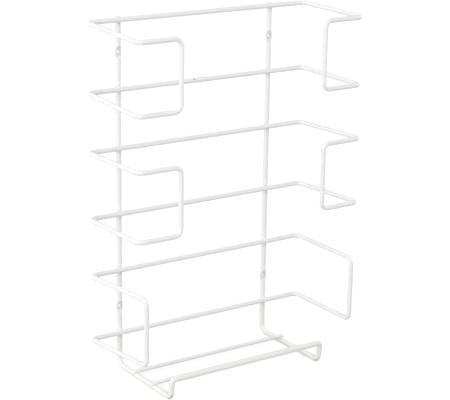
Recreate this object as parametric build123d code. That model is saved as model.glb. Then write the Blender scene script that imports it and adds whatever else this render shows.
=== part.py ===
from build123d import *
from math import pi
import os

# Wall holder for three boxes of disposable gloves, of bent, welded and coated steel wire.
# Millimetres. X runs along the wall, +Y points into the wall, Z is up, and the front faces -Y.
# While it is drawn, X = 0 lies midway between the uprights, Y = 0 in their plane and Z = 0 at the
# axis of the feet. The last step moves everything to the final origin.

# Wire diameters, over the coating
FRAME_WIRE = 5.8
LOOP_WIRE = 5.0
TRAY_WIRE = 4.3

# Depth that two welded wires sink into each other
WELD_SINK = 0.5

# Uprights, feet and lip, measured between wire axes
UPRIGHT_SPACING = 182.0
FOOT_REACH = 100.5
HEEL_BEND = 9.0
LIP_HEIGHT = 20.0
LIP_LEAN = 3.0
TOE_BEND = 6.5
LIP_BEND = 4.0

# How far the right toe is bent outwards, so that its foot splays
RIGHT_TOE_SET = 1.6

# Screw eyes of the uprights, pressed flat from the front and pierced
EYE_LENGTH = 13.0
EYE_WIDTH = 6.8
EYE_THICKNESS = 4.2
EYE_FLAT = 8.0
EYE_SHOULDER = 2.0
DIE_ROUND = 1.2
EYE_HOLE = 4.2
EYE_HOLE_CHAMFER = 0.4
UPPER_EYE_DROP = 32.4
LOWER_EYE_DROP = 40.5

# Loops that hold the boxes, measured between wire axes
LOOP_OVERHANG = 39.0
LOOP_OFFSET = 2.5
LOOP_DEPTH = 97.0
LOOP_HEIGHT = 68.5
TOP_LOOP_HEIGHT = 69.4
LOOP_PITCH = 128.5
BOTTOM_LOOP_RISE = 37.0
RETURN_LENGTH = 47.0
LOOP_BEND = 7.0

# Butt weld that closes each loop: how far the upset metal stands out, and its length
BUTT_BULGE = 0.4
BUTT_LENGTH = 4.0

# How far each front corner is bent out of square: to the right, then upwards
TOP_LEFT_SET = (-1.0, -4.0)
TOP_RIGHT_SET = (1.5, -1.5)
MIDDLE_LEFT_SET = (-0.5, 2.0)
MIDDLE_RIGHT_SET = (4.0, 2.0)
BOTTOM_LEFT_SET = (8.0, 3.0)
BOTTOM_RIGHT_SET = (-1.0, 1.0)

# Tray bars: the rear one from the uprights, the front one from the foot's front bend
REAR_BAR_SETTING = 35.0
FRONT_BAR_SETTING = 30.0
TRAY_OVERHANG = 0.5

# Softened edges of the cut wire ends
END_ROUND = 0.8

# Sizes that follow from the values above
frame_radius = FRAME_WIRE / 2
loop_radius = LOOP_WIRE / 2
tray_radius = TRAY_WIRE / 2
upright_x = UPRIGHT_SPACING / 2
loop_half = upright_x + LOOP_OVERHANG
loop_back = -(frame_radius + loop_radius - WELD_SINK)
loop_front = loop_back - LOOP_DEPTH
top_loop_rise = BOTTOM_LOOP_RISE + 2 * LOOP_PITCH
top_bar = top_loop_rise + TOP_LOOP_HEIGHT
frame_top = top_bar + loop_radius
upper_eye = top_bar - UPPER_EYE_DROP
lower_eye = BOTTOM_LOOP_RISE + LOOP_HEIGHT - LOWER_EYE_DROP
eye_face = frame_radius - EYE_THICKNESS
tray_rise = frame_radius + tray_radius - WELD_SINK


def bent_wire(points, radius, bends):
    """Round wire along straight runs joined by bends."""
    path = FilletPolyline(*points, radius=bends)
    section = Plane(origin=path @ 0, z_dir=path % 0) * Circle(radius)
    wire = sweep(section, path=path)
    drift = wire.volume / (pi * radius**2 * path.length) - 1
    print(f"wire of {path.length:.1f} mm, volume off by {drift:.1e}")
    return wire


def corner(side, height, shift=(0.0, 0.0), inset=0.0):
    """Front corner of a loop, or the inner end of its return when inset is given."""
    x = LOOP_OFFSET + side * (loop_half - inset) + shift[0]
    return (x, loop_front, height + shift[1])


def half_loop(low, high, side, shift, hooked):
    """One side of a closed loop, from the middle of the lower back bar to that of the upper."""
    back_x = LOOP_OFFSET + side * loop_half
    points = [(LOOP_OFFSET, loop_back, low), (back_x, loop_back, low), corner(side, low, shift)]
    if hooked:
        points.append(corner(side, low, shift, RETURN_LENGTH))
        points.append(corner(side, high, shift, RETURN_LENGTH))
    points.append(corner(side, high, shift))
    points.append((back_x, loop_back, high))
    points.append((LOOP_OFFSET, loop_back, high))
    return bent_wire(points, loop_radius, [LOOP_BEND] * (len(points) - 2))


def butt_weld(low):
    """Low ring of upset metal where the two ends of the loop's wire are joined."""
    half = BUTT_LENGTH / 2
    crest = loop_radius + BUTT_BULGE
    outline = Line((-half, 0), (-half, loop_radius))
    outline += ThreePointArc((-half, loop_radius), (0, crest), (half, loop_radius))
    outline += Polyline((half, loop_radius), (half, 0), (-half, 0))
    ring = revolve(make_face(outline), axis=Axis.X)
    return Pos(LOOP_OFFSET, loop_back, low) * ring


def box_loop(low, high, left_shift, right_shift, hooked):
    """One closed loop, seated in the front of the uprights."""
    left = half_loop(low, high, -1, left_shift, hooked)
    right = half_loop(low, high, 1, right_shift, hooked)
    return left + right + butt_weld(low)


def eye_die():
    """Press tool for one screw eye: a flat face between two sloping shoulders."""
    reach = frame_radius + eye_face
    slope = EYE_SHOULDER / reach
    back = -2 * frame_radius
    end = EYE_FLAT / 2 + slope * (eye_face - back)
    flat = EYE_FLAT / 2
    outline = Polygon((eye_face, -flat), (eye_face, flat), (back, end), (back, -end), align=None)
    outline = fillet(outline.vertices().group_by(Axis.X)[-1], DIE_ROUND)
    return extrude(Plane.YZ * outline, amount=EYE_WIDTH, both=True)


def screw_eye(x, z):
    """Stretch of upright pressed flat from the front and pierced, its back still in line."""
    middle = Ellipse(EYE_WIDTH / 2, frame_radius)
    end = Circle(frame_radius)
    half = EYE_LENGTH / 2
    eye = loft([Pos(0, 0, -half) * end, middle, Pos(0, 0, half) * end])
    eye -= eye_die()
    eye -= Rotation(90, 0, 0) * Cylinder(EYE_HOLE / 2, 2 * FRAME_WIRE)
    front_rim = eye.edges().filter_by(Plane.XZ).filter_by(GeomType.CIRCLE).sort_by(Axis.Y)[0]
    eye = chamfer(front_rim, EYE_HOLE_CHAMFER)
    return Pos(x, 0, z) * eye


def frame():
    """The long wire of both uprights, both feet and the lip, with its four screw eyes."""
    toe = -FOOT_REACH
    lip = toe - LIP_LEAN
    left = -upright_x
    right = upright_x
    splayed = right + RIGHT_TOE_SET
    points = [(left, 0, frame_top), (left, 0, 0), (left, toe, 0), (left, lip, LIP_HEIGHT)]
    points += [(splayed, lip, LIP_HEIGHT), (splayed, toe, 0), (right, 0, 0), (right, 0, frame_top)]
    bends = [HEEL_BEND, TOE_BEND, LIP_BEND, LIP_BEND, TOE_BEND, HEEL_BEND]
    wire = bent_wire(points, frame_radius, bends)
    top_edges = wire.edges().filter_by(GeomType.CIRCLE).group_by(Axis.Z)[-1]
    wire = fillet(top_edges, END_ROUND)
    blank = Box(2 * FRAME_WIRE, 2 * FRAME_WIRE, EYE_LENGTH)
    for x in (left, right):
        for z in (lower_eye, upper_eye):
            wire -= Pos(x, 0, z) * blank
            wire += screw_eye(x, z)
    return wire


def tray_bar(y):
    """Straight bar across both feet, its cut ends just proud of their outer sides."""
    length = UPRIGHT_SPACING + FRAME_WIRE + 2 * TRAY_OVERHANG
    bar = Rotation(0, 90, 0) * Cylinder(tray_radius, length)
    bar = fillet(bar.edges().filter_by(GeomType.CIRCLE), END_ROUND)
    return Pos(0, y, tray_rise) * bar


frame_wire = frame()
middle_rise = BOTTOM_LOOP_RISE + LOOP_PITCH
middle_bar = middle_rise + LOOP_HEIGHT
bottom_bar = BOTTOM_LOOP_RISE + LOOP_HEIGHT
pieces = {
    "frame_wire": frame_wire,
    "top_loop": box_loop(top_loop_rise, top_bar, TOP_LEFT_SET, TOP_RIGHT_SET, True),
    "middle_loop": box_loop(middle_rise, middle_bar, MIDDLE_LEFT_SET, MIDDLE_RIGHT_SET, True),
    "bottom_loop": box_loop(BOTTOM_LOOP_RISE, bottom_bar, BOTTOM_LEFT_SET, BOTTOM_RIGHT_SET, False),
    "rear_tray_bar": tray_bar(-REAR_BAR_SETTING),
    "front_tray_bar": tray_bar(-FOOT_REACH + FRONT_BAR_SETTING),
}

# Each welded wire is cut to the seat that it sinks into on the frame wire
for name in pieces:
    if name != "frame_wire":
        pieces[name] -= frame_wire

# Final origin: middle of the footprint, on the surface that the feet stand on
box = Compound(list(pieces.values())).bounding_box()
origin = Pos(-(box.min.X + box.max.X) / 2, -(box.min.Y + box.max.Y) / 2, -box.min.Z)

os.makedirs("parts", exist_ok=True)
for name, piece in pieces.items():
    placed = origin * piece
    placed.label = name
    export_step(placed, f"parts/{name}.step")
    size = placed.bounding_box().size
    print(name, f"{size.X:.1f} x {size.Y:.1f} x {size.Z:.1f} mm, {len(placed.solids())} solid")
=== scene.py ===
from math import cos, pi, sin, sqrt

import bmesh
import bpy
from mathutils import Matrix, Vector


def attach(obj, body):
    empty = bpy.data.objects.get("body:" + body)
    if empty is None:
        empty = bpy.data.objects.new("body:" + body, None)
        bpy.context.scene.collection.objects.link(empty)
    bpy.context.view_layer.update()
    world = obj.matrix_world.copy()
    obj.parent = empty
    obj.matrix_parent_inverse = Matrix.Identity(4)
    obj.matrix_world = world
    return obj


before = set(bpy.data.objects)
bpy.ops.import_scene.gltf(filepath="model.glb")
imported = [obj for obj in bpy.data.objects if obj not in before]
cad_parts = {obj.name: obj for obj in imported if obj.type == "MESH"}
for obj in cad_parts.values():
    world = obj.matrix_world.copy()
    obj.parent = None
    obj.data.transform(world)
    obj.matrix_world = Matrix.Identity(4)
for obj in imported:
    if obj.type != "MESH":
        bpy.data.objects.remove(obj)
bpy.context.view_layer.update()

# Frame wire. One long mild-steel wire makes both uprights, both feet and the low front lip. It is
# bent cold, and pressed flat and pierced in four places for the wall screws. The welded rack is
# sprayed with white epoxy powder and baked, so all its wires have one coat.
MM = 0.001
UPRIGHT_X = (-94.889 * MM, 87.111 * MM)
UPRIGHT_Y = 51.75 * MM
EYE_RISE = (67.9 * MM, 333.9 * MM)
EYE_LENGTH = 13.0 * MM
COAT_WHITE = "#F4F4F4"
COAT_THICK = "#F0F0F0"
COAT_CREVICE_CREAM_AND_SHADE = "#D9D7C4"

# Cured epoxy bends light a little more than window glass does, and its satin varies with the peel
COAT_IOR = 1.53
COAT_ROUGHNESS = (0.40, 0.50)
PEEL_LOW, PEEL_HIGH = 0.3, 0.7

# The film's thickness drifts along a wire over about 30 mm. In crevices under 2.5 mm wide, where
# less than three quarters of the sky is open, the coat pools creamier and is painted darker as
# painted shade
DRIFT_LENGTH = 30 * MM
CREVICE_REACH = 2.5 * MM
CREVICE_OPEN, CREVICE_SHUT = 0.75, 0.25

# Orange peel has a pitch of 1 to 3 mm. The filler's grain is drawn at 0.5 mm, or it would not show.
PEEL_PITCH, PEEL_DEPTH, PEEL_STRENGTH = 2.4 * MM, 0.05 * MM, 0.2
GRAIN_PITCH, GRAIN_DEPTH, GRAIN_STRENGTH = 0.5 * MM, 0.02 * MM, 0.12


def linear(code):
    """An sRGB hex colour as linear RGBA."""
    parts = [int(code[i:i + 2], 16) / 255 for i in (1, 3, 5)]
    light = [c / 12.92 if c <= 0.04045 else ((c + 0.055) / 1.055) ** 2.4 for c in parts]
    return (*light, 1.0)


def add_node(material, kind, sockets, **settings):
    """A node with its settings; each socket gets a value, or the output that feeds it."""
    made = material.node_tree.nodes.new(kind)
    for name, value in settings.items():
        setattr(made, name, value)
    for socket, value in sockets.items():
        if isinstance(value, bpy.types.NodeSocket):
            material.node_tree.links.new(value, made.inputs[socket])
        else:
            made.inputs[socket].default_value = value
    return made


def epoxy_powder_coat(name, white=COAT_WHITE, marks=None):
    """Baked epoxy powder on bright drawn steel wire: a smooth white skin with a soft satin gloss
    and a faint orange peel, creamier where it pools in crevices beside a weld and painted darker
    there as painted shade. marks adds what shows on one wire alone to the colour that it gets."""
    coat = bpy.data.materials.new(name)
    coat.use_nodes = True
    coat.node_tree.nodes.clear()
    place = add_node(coat, "ShaderNodeTexCoord", {}).outputs["Object"]

    drift = add_node(coat, "ShaderNodeTexNoise", {
        "Vector": place, "Scale": 1 / DRIFT_LENGTH, "Detail": 2.0})
    colour = add_node(coat, "ShaderNodeMixRGB", {
        "Fac": drift.outputs["Fac"], "Color1": linear(white),
        "Color2": linear(COAT_THICK)}).outputs["Color"]
    crevice = add_node(coat, "ShaderNodeAmbientOcclusion", {"Distance": CREVICE_REACH}, samples=8)
    pooled_and_shaded = add_node(coat, "ShaderNodeMapRange", {
        "Value": crevice.outputs["AO"], "From Min": CREVICE_OPEN, "From Max": CREVICE_SHUT,
        "To Min": 0.0, "To Max": 1.0})
    # Painted shade: the colour turns darker and creamier where the crevices shut out the sky
    colour = add_node(coat, "ShaderNodeMixRGB", {
        "Fac": pooled_and_shaded.outputs["Result"], "Color1": colour,
        "Color2": linear(COAT_CREVICE_CREAM_AND_SHADE)}).outputs["Color"]
    if marks:
        colour = marks(coat, place, colour)

    peel = add_node(coat, "ShaderNodeTexNoise", {
        "Vector": place, "Scale": 1 / PEEL_PITCH, "Detail": 1.0})
    grain = add_node(coat, "ShaderNodeTexNoise", {
        "Vector": place, "Scale": 1 / GRAIN_PITCH, "Detail": 2.0})
    peel_bump = add_node(coat, "ShaderNodeBump", {
        "Height": peel.outputs["Fac"], "Strength": PEEL_STRENGTH, "Distance": PEEL_DEPTH})
    bump = add_node(coat, "ShaderNodeBump", {
        "Height": grain.outputs["Fac"], "Strength": GRAIN_STRENGTH, "Distance": GRAIN_DEPTH,
        "Normal": peel_bump.outputs["Normal"]})
    smooth, rough = COAT_ROUGHNESS
    satin = add_node(coat, "ShaderNodeMapRange", {
        "Value": peel.outputs["Fac"], "From Min": PEEL_LOW, "From Max": PEEL_HIGH,
        "To Min": smooth, "To Max": rough})
    shader = add_node(coat, "ShaderNodeBsdfPrincipled", {
        "Base Color": colour, "IOR": COAT_IOR, "Roughness": satin.outputs["Result"],
        "Normal": bump.outputs["Normal"]})
    add_node(coat, "ShaderNodeOutputMaterial", {"Surface": shader.outputs["BSDF"]})
    return coat


def dress(node, material):
    """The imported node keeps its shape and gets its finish."""
    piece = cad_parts[node]
    piece.data.materials.clear()
    piece.data.materials.append(material)
    for face in piece.data.polygons:
        face.use_smooth = True


def spots(coat, place, points, reach):
    """1 within half of reach of any of the points, falling to 0 at reach."""
    nearest = None
    for point in points:
        away = add_node(coat, "ShaderNodeVectorMath", {0: place, 1: point},
                        operation="DISTANCE").outputs["Value"]
        if nearest is not None:
            away = add_node(coat, "ShaderNodeMath", {0: nearest, 1: away},
                            operation="MINIMUM").outputs[0]
        nearest = away
    return add_node(coat, "ShaderNodeMapRange", {
        "Value": nearest, "From Min": reach, "From Max": reach / 2,
        "To Min": 0.0, "To Max": 1.0}).outputs["Result"]


# The pressed eyes are painted a darker grey, as painted shade on their flat faces
EYES = [(x, UPRIGHT_Y, z) for x in UPRIGHT_X for z in EYE_RISE]
EYE_PAINTED_SHADE_GREY = "#E2E3E3"

# The feet and the lip are handled most, and are creamier up to this height
LOW_RISE = 34 * MM
COAT_LOW = "#F2F2EF"

# Two points under each toe, where a grey patch is painted as painted shadow beneath the toes
TOES = ((-94.5 * MM, -48.5 * MM, 1.5 * MM), (-93.5 * MM, -51.0 * MM, 4.4 * MM),
        (88.4 * MM, -45.2 * MM, 0.3 * MM), (88.6 * MM, -48.4 * MM, 1.7 * MM))
TOE_SHADOW_REACH = 3.0 * MM
TOE_PAINTED_SHADOW_GREY = "#A09F9C"


def frame_marks(coat, place, colour):
    """Painted shade on the eyes, creamy feet and lip, and painted shadow under both toes."""
    # Painted shade: the pressed eyes are mixed towards a darker grey
    eye_shade = spots(coat, place, EYES, EYE_LENGTH / 2)
    colour = add_node(coat, "ShaderNodeMixRGB", {
        "Fac": eye_shade, "Color1": colour, "Color2": linear(EYE_PAINTED_SHADE_GREY)}).outputs["Color"]
    height = add_node(coat, "ShaderNodeSeparateXYZ", {"Vector": place}).outputs["Z"]
    low = add_node(coat, "ShaderNodeMapRange", {
        "Value": height, "From Min": LOW_RISE * 2, "From Max": LOW_RISE,
        "To Min": 0.0, "To Max": 1.0}).outputs["Result"]
    colour = add_node(coat, "ShaderNodeMixRGB", {
        "Fac": low, "Color1": colour, "Color2": linear(COAT_LOW)}).outputs["Color"]
    # Painted shadow: grey patches under the toes stand in for the shade beneath them
    toe_shadow = spots(coat, place, TOES, TOE_SHADOW_REACH)
    return add_node(coat, "ShaderNodeMixRGB", {
        "Fac": toe_shadow, "Color1": colour, "Color2": linear(TOE_PAINTED_SHADOW_GREY)}).outputs["Color"]


dress("frame_wire", epoxy_powder_coat("epoxy_coat_on_frame_wire", marks=frame_marks))

# Box loops. Three closed loops of 5 mm wire, each bent from one length and butt welded in the
# middle of its lower back bar. The upper two turn in at the front to keep a glove box in place. The
# top one's coat has a pinhole near its weld, where gas came out of the steel in the oven.
PINHOLE = (-9.5 * MM, 45.1 * MM, 298.7 * MM)
PINHOLE_REACH = 1.2 * MM
PINHOLE_GREY = "#9C9A96"


def coat_pinhole(coat, place, colour):
    """A dark speck in the front of the top loop's lower back bar."""
    speck = spots(coat, place, [PINHOLE], PINHOLE_REACH)
    return add_node(coat, "ShaderNodeMixRGB", {
        "Fac": speck, "Color1": colour, "Color2": linear(PINHOLE_GREY)}).outputs["Color"]


dress("top_loop", epoxy_powder_coat("epoxy_coat_on_top_loop", marks=coat_pinhole))
for loop in ("middle_loop", "bottom_loop"):
    dress(loop, epoxy_powder_coat("epoxy_coat_on_" + loop))

# Bar seats. Each back bar is resistance welded into the front of both uprights. The squeezed-out
# steel and the powder that gathers there leave a small hollow fillet all round every crossing, a
# tenth larger or smaller from place to place.
BAR_RISE = (39.9 * MM, 108.4 * MM, 168.4 * MM, 236.9 * MM, 296.9 * MM, 366.3 * MM)
FRAME_RADIUS = 2.9 * MM
BAR_RADIUS = 2.5 * MM
WELD_SINK = 0.5 * MM
BAR_FILLET = 0.95 * MM
BAR_UNEVENNESS = 0.10
TOP_BAR_THINNING = 0.86
COAT_POOLED = "#EEECDD"
X_AXIS, Y_AXIS, Z_AXIS = Vector((1, 0, 0)), Vector((0, 1, 0)), Vector((0, 0, 1))

# A fillet's mesh: steps round the crossing, steps across its hollow face, and how deep inside the
# two wires its hidden edge lies, in radii of the rolling ball
RING_STEPS = 40
ARC_STEPS = 5
EDGE_DEPTH = 2.4


def weld_fillet(name, through, crossing, radii, spacing, fillet_at):
    """A closed ring under a ball that rolls round two crossed wires. The first wire runs along the
    axis through[0], the second along through[1], at spacing from it along through[2]."""
    first, second = radii
    skin = bmesh.new()
    rings = []
    for step in range(RING_STEPS):
        angle = 2 * pi * step / RING_STEPS
        ball = fillet_at(angle)
        gap = spacing - second - ball
        aside = sqrt((first + ball) ** 2 - gap ** 2) * cos(angle)
        out = sqrt((first + ball) ** 2 - aside ** 2)
        along = sqrt(max((second + ball) ** 2 - (spacing - out) ** 2, 0))
        along *= 1 if sin(angle) >= 0 else -1
        centre = Vector((along, aside, out))
        to_first = Vector((0, -aside, -out)).normalized()
        to_second = Vector((-along, 0, spacing - out)).normalized()
        points = [centre + ball * to_first.slerp(to_second, i / ARC_STEPS)
                  for i in range(ARC_STEPS + 1)]
        points.append(centre + EDGE_DEPTH * ball * (to_first + to_second).normalized())
        rings.append([skin.verts.new(crossing + p.x * through[0] + p.y * through[1]
                                     + p.z * through[2]) for p in points])
    for ring, following in zip(rings, rings[1:] + rings[:1]):
        for i in range(len(ring)):
            j = (i + 1) % len(ring)
            skin.faces.new((ring[i], ring[j], following[j], following[i]))
    bmesh.ops.recalc_face_normals(skin, faces=skin.faces)
    mesh = bpy.data.meshes.new(name)
    skin.to_mesh(mesh)
    skin.free()
    piece = bpy.data.objects.new(name, mesh)
    bpy.context.scene.collection.objects.link(piece)
    for face in mesh.polygons:
        face.use_smooth = True
    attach(piece, "root")
    return piece


seat_coat = epoxy_powder_coat("epoxy_coat_pooled_on_bar_seats", white=COAT_POOLED)
for side, x in zip(("left", "right"), UPRIGHT_X):
    for number, rise in enumerate(BAR_RISE, start=1):
        # The uprights end level with the top bar, so its fillet thins out towards their ends
        thinning = TOP_BAR_THINNING if number == len(BAR_RISE) else 0.0
        bead = weld_fillet(f"bar_seat_{side}_{number}", (Z_AXIS, X_AXIS, -Y_AXIS),
                           Vector((x, UPRIGHT_Y, rise)), (FRAME_RADIUS, BAR_RADIUS),
                           FRAME_RADIUS + BAR_RADIUS - WELD_SINK,
                           lambda angle: BAR_FILLET * (1 - thinning * max(sin(angle), 0))
                           * (1 + BAR_UNEVENNESS * sin(2 * angle + number)))
        bead.data.materials.append(seat_coat)

# Tray bars. Two straight bars, cut to length and welded across the feet, carry the lowest box.
# Their cut ends stand just proud of the feet, and each seat has the same hollow fillet, thinner on
# the outer side.
TRAY_RADIUS = 2.15 * MM
FOOT_RISE = 2.9 * MM
TRAY_FILLET = 0.8 * MM
OUTER_THINNING = 0.7
TRAY_SEATS = {"rear_tray_bar": ((-94.889 * MM, 87.668 * MM), 16.75 * MM),
              "front_tray_bar": ((-94.889 * MM, 88.233 * MM), -18.75 * MM)}
for bar, (feet, y) in TRAY_SEATS.items():
    dress(bar, epoxy_powder_coat("epoxy_coat_on_" + bar))
    for side, x in zip(("left", "right"), feet):
        outwards = -1 if side == "left" else 1
        bead = weld_fillet(f"{bar}_seat_{side}", (Y_AXIS, X_AXIS, Z_AXIS),
                           Vector((x, y, FOOT_RISE)), (FRAME_RADIUS, TRAY_RADIUS),
                           FRAME_RADIUS + TRAY_RADIUS - WELD_SINK,
                           lambda angle: TRAY_FILLET
                           * (1 - OUTER_THINNING * max(outwards * cos(angle), 0)))
        bead.data.materials.append(seat_coat)

# Floor. A plain sheet of pale paper, wide enough to fill every view, that takes only the rack's
# soft shadow. To the eye it is lifted to white, and more so far from the rack, where the lamps
# fall off.
FLOOR_HALF = 9.0
PAPER_GREY = "#CCCCCC"
PURE_WHITE = "#FFFFFF"
LIFT_NEAR, LIFT_FAR, LIFT_REACH = 0.52, 0.80, 3.0
floor_mesh = bpy.data.meshes.new("floor")
floor_mesh.from_pydata([(-FLOOR_HALF, -FLOOR_HALF, 0), (FLOOR_HALF, -FLOOR_HALF, 0),
                        (FLOOR_HALF, FLOOR_HALF, 0), (-FLOOR_HALF, FLOOR_HALF, 0)],
                       [], [(0, 1, 2, 3)])
floor = bpy.data.objects.new("floor", floor_mesh)
bpy.context.scene.collection.objects.link(floor)


def seen_directly(studio):
    """1 for what the camera sees, by itself or in gloss or glass, and 0 for light on the rack."""
    ray = add_node(studio, "ShaderNodeLightPath", {}).outputs
    plain = add_node(studio, "ShaderNodeMath", {0: ray["Is Camera Ray"], 1: ray["Is Glossy Ray"]},
                     operation="MAXIMUM")
    return add_node(studio, "ShaderNodeMath", {0: plain.outputs[0], 1: ray["Is Transmission Ray"]},
                    operation="MAXIMUM").outputs[0]


paper = bpy.data.materials.new("white_studio_paper")
paper.use_nodes = True
paper.node_tree.nodes.clear()
matt_paper = add_node(paper, "ShaderNodeBsdfDiffuse", {"Color": linear(PAPER_GREY)})
on_floor = add_node(paper, "ShaderNodeTexCoord", {})
distance = add_node(paper, "ShaderNodeVectorMath", {0: on_floor.outputs["Object"]},
                    operation="LENGTH")
lift = add_node(paper, "ShaderNodeMapRange", {
    "Value": distance.outputs["Value"], "From Max": LIFT_REACH,
    "To Min": LIFT_NEAR, "To Max": LIFT_FAR})
glow = add_node(paper, "ShaderNodeEmission", {
    "Color": linear(PURE_WHITE), "Strength": lift.outputs["Result"]})
lifted = add_node(paper, "ShaderNodeMixShader", {
    0: seen_directly(paper), 2: glow.outputs["Emission"]})
both = add_node(paper, "ShaderNodeAddShader", {
    0: matt_paper.outputs["BSDF"], 1: lifted.outputs["Shader"]})
add_node(paper, "ShaderNodeOutputMaterial", {"Surface": both.outputs["Shader"]})
floor_mesh.materials.append(paper)

# Light. A white studio: even light from all round, three large softboxes on the left, one above
# the front and one on the right, placed in metres. The wires' left sides come out nearly white,
# their right sides and undersides light grey.
AMBIENT = 0.42
SOFTBOX_SIZE = 1.2
SOFTBOX_AIM = (0, 0, 0.18)
SOFTBOXES = (("left_softbox", (-2.19, 0, 0.65), 10.4),
             ("left_front_softbox", (-1.67, -1.40, 0.65), 11.8),
             ("left_back_softbox", (-1.41, 1.41, 1.11), 12.0),
             ("front_softbox", (0, -1.41, 1.87), 13.4),
             ("right_softbox", (2.13, 0, 0.75), 16.0))
room = bpy.data.worlds.new("white_studio")
room.use_nodes = True
room.node_tree.nodes.clear()
strength = add_node(room, "ShaderNodeMapRange", {
    "Value": seen_directly(room), "To Min": AMBIENT, "To Max": 1.0})
sky = add_node(room, "ShaderNodeBackground", {
    "Color": linear(PURE_WHITE), "Strength": strength.outputs["Result"]})
add_node(room, "ShaderNodeOutputWorld", {"Surface": sky.outputs["Background"]})
bpy.context.scene.world = room
for name, place, watts in SOFTBOXES:
    lamp = bpy.data.lights.new(name, "AREA")
    lamp.shape = "SQUARE"
    lamp.size = SOFTBOX_SIZE
    lamp.energy = watts
    softbox = bpy.data.objects.new(name, lamp)
    softbox.location = place
    softbox.visible_camera = False
    softbox.rotation_mode = "QUATERNION"
    aim = Vector(SOFTBOX_AIM) - Vector(place)
    softbox.rotation_quaternion = aim.to_track_quat("-Z", "Y")
    bpy.context.scene.collection.objects.link(softbox)

# Camera. It stands to the left of the rack and above it, and looks down at it with a long lens. Its
# angles are in radians, from straight at the wall, and its place in metres.
YAW, PITCH, ROLL = 0.59729, -0.29007, 0.01556
CAMERA_PLACE = (-0.805615, -1.184216, 0.607901)
FOCAL_PIXELS = 1466.71
WIDTH_PIXELS = 450
forward = Vector((sin(YAW) * cos(PITCH), cos(YAW) * cos(PITCH), sin(PITCH)))
level = Vector((cos(YAW), -sin(YAW), 0))
above = level.cross(forward)
across = cos(ROLL) * level + sin(ROLL) * above
upright = cos(ROLL) * above - sin(ROLL) * level
camera_data = bpy.data.cameras.new("camera")
camera_data.sensor_width = 36.0
camera_data.lens = FOCAL_PIXELS / WIDTH_PIXELS * camera_data.sensor_width
camera_data.clip_start = 0.05
camera_data.clip_end = 50.0
camera = bpy.data.objects.new("camera", camera_data)
turn = Matrix((across, upright, -forward)).transposed().to_4x4()
camera.matrix_world = Matrix.Translation(CAMERA_PLACE) @ turn
bpy.context.scene.collection.objects.link(camera)
bpy.context.scene.camera = camera
bpy.context.scene.view_settings.view_transform = "Standard"
